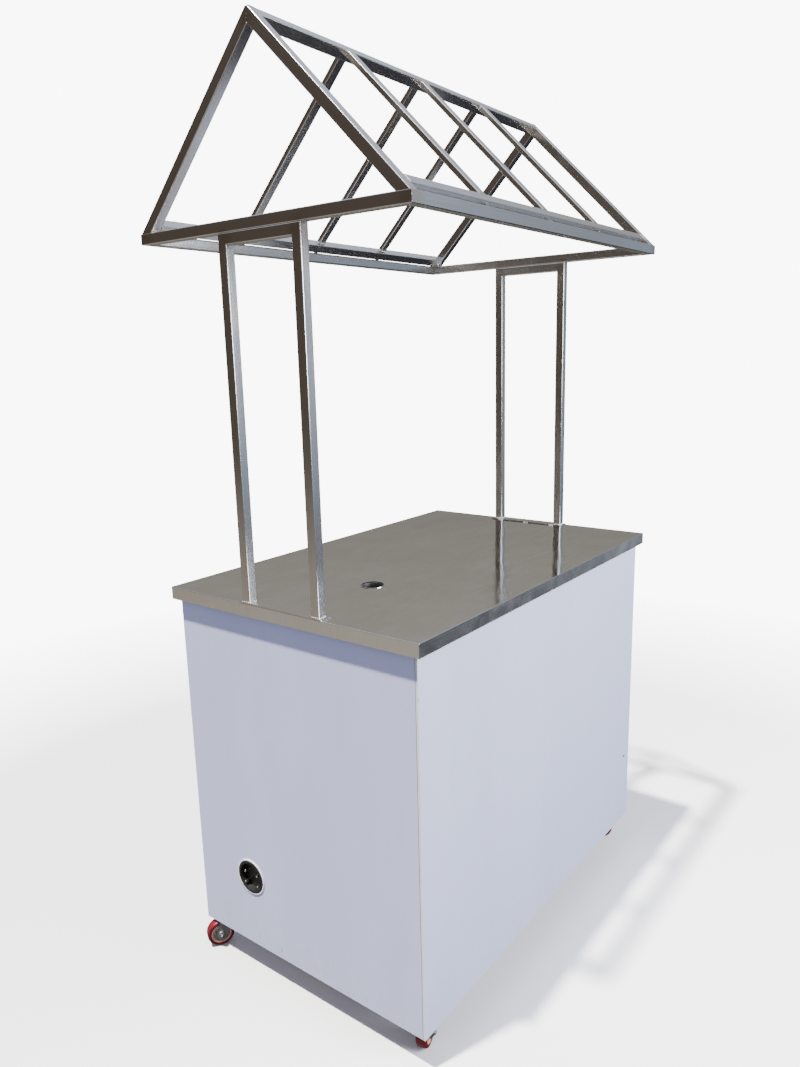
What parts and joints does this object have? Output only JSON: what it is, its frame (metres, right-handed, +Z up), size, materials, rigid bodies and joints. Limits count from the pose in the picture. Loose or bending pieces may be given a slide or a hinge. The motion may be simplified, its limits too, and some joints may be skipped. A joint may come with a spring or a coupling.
{
  "type": "push vending cart",
  "caption": "White cabinet cart on swivel casters with a stainless steel countertop, end post frames and an open gable roof frame, with doors at the back.",
  "frame": {"origin": "on the floor under the middle of the cart's bounding box", "axes": "+X along the long side, away from the end with the power inlet; -Y towards the customer's side, +Y towards the doors; +Z up"},
  "size_m": [1.2082, 0.786, 2.289],
  "materials": {
    "polished_steel": "polished",
    "brushed_steel": "brushed",
    "frame_steel": "mill finish",
    "laminate": "semi-gloss white laminate",
    "board": "plain board",
    "bright_hardware": "bright",
    "black_plastic": "matt black",
    "white_plastic": "light ring",
    "nickel_pin": "nickel",
    "zinc_plate": "zinc plated",
    "wheel_cream": "cream",
    "tread_red": "dark red"
  },
  "bodies": {
    "cart": {"base_frame": "frame_steel", "caster_bolts": "zinc_plate", "caster_plates": "zinc_plate", "counter_core": "board", "countertop": "polished_steel", "end_panel_left": "laminate", "end_panel_right": "laminate", "floor_panel": "board", "foot_plates": "brushed_steel", "front_panel": "laminate", "gable_rafter_left_front": "brushed_steel", "gable_rafter_left_rear": "brushed_steel", "gable_rafter_right_front": "brushed_steel", "gable_rafter_right_rear": "brushed_steel", "hinge_frame_leaves": "bright_hardware", "inlet_bezel": "white_plastic", "inlet_body": "black_plastic", "inlet_pins": "nickel_pin", "panel_rivets": "bright_hardware", "post_left_front": "brushed_steel", "post_left_rear": "brushed_steel", "post_right_front": "brushed_steel", "post_right_rear": "brushed_steel", "purlin_front": "brushed_steel", "purlin_rear": "brushed_steel", "purlin_spacers": "brushed_steel", "rafter_front_1": "brushed_steel", "rafter_front_2": "brushed_steel", "rafter_front_3": "brushed_steel", "rafter_rear_1": "brushed_steel", "rafter_rear_2": "brushed_steel", "rafter_rear_3": "brushed_steel", "ridge_beam": "brushed_steel", "roof_rail_front": "brushed_steel", "roof_rail_left": "brushed_steel", "roof_rail_rear": "brushed_steel", "roof_rail_right": "brushed_steel", "shelf": "board", "top_bar_left": "brushed_steel", "top_bar_right": "brushed_steel", "top_frame": "frame_steel", "uprights": "frame_steel"},
    "swivel_front_left": {"caster_fork_front_left": "zinc_plate"},
    "wheel_front_left": {"caster_wheel_front_left": "wheel_cream", "caster_tread_front_left": "tread_red"},
    "swivel_front_right": {"caster_fork_front_right": "zinc_plate"},
    "wheel_front_right": {"caster_wheel_front_right": "wheel_cream", "caster_tread_front_right": "tread_red"},
    "swivel_rear_left": {"caster_fork_rear_left": "zinc_plate"},
    "wheel_rear_left": {"caster_wheel_rear_left": "wheel_cream", "caster_tread_rear_left": "tread_red"},
    "swivel_rear_right": {"caster_fork_rear_right": "zinc_plate"},
    "wheel_rear_right": {"caster_wheel_rear_right": "wheel_cream", "caster_tread_rear_right": "tread_red"},
    "door_left_body": {"door_left": "laminate", "door_handle_left": "bright_hardware", "hinge_leaves_left": "bright_hardware"},
    "door_right_body": {"door_right": "laminate", "door_handle_right": "bright_hardware", "hinge_leaves_right": "bright_hardware"}
  },
  "joints": [
    {"name": "swivel_turn_front_left", "type": "hinge", "parent": "cart", "child": "swivel_front_left", "pos_m": [-0.543, -0.332, 0.0927], "axis": [0, 0, 1], "continuous": true},
    {"name": "wheel_roll_front_left", "type": "hinge", "parent": "swivel_front_left", "child": "wheel_front_left", "pos_m": [-0.51622, -0.32381, 0.0375], "axis": [0.2924, -0.9563, 0], "continuous": true},
    {"name": "swivel_turn_front_right", "type": "hinge", "parent": "cart", "child": "swivel_front_right", "pos_m": [0.543, -0.332, 0.0927], "axis": [0, 0, 1], "continuous": true},
    {"name": "wheel_roll_front_right", "type": "hinge", "parent": "swivel_front_right", "child": "wheel_front_right", "pos_m": [0.53251, -0.30604, 0.0375], "axis": [0.9272, 0.3746, 0], "continuous": true},
    {"name": "swivel_turn_rear_left", "type": "hinge", "parent": "cart", "child": "swivel_rear_left", "pos_m": [-0.543, 0.332, 0.0927], "axis": [0, 0, 1], "continuous": true},
    {"name": "wheel_roll_rear_left", "type": "hinge", "parent": "swivel_rear_left", "child": "wheel_rear_left", "pos_m": [-0.567, 0.34642, 0.0375], "axis": [0.515, 0.8572, 0], "continuous": true},
    {"name": "swivel_turn_rear_right", "type": "hinge", "parent": "cart", "child": "swivel_rear_right", "pos_m": [0.543, 0.332, 0.0927], "axis": [0, 0, 1], "continuous": true},
    {"name": "wheel_roll_rear_right", "type": "hinge", "parent": "swivel_rear_right", "child": "wheel_rear_right", "pos_m": [0.567, 0.34642, 0.0375], "axis": [0.515, -0.8572, 0], "continuous": true},
    {"name": "door_swing_left", "type": "hinge", "parent": "cart", "child": "door_left_body", "pos_m": [-0.573, 0.368, 0.55], "axis": [0, 0, 1], "range_deg": [0, 110]},
    {"name": "door_swing_right", "type": "hinge", "parent": "cart", "child": "door_right_body", "pos_m": [0.573, 0.368, 0.55], "axis": [0, 0, -1], "range_deg": [0, 110]}
  ]
}
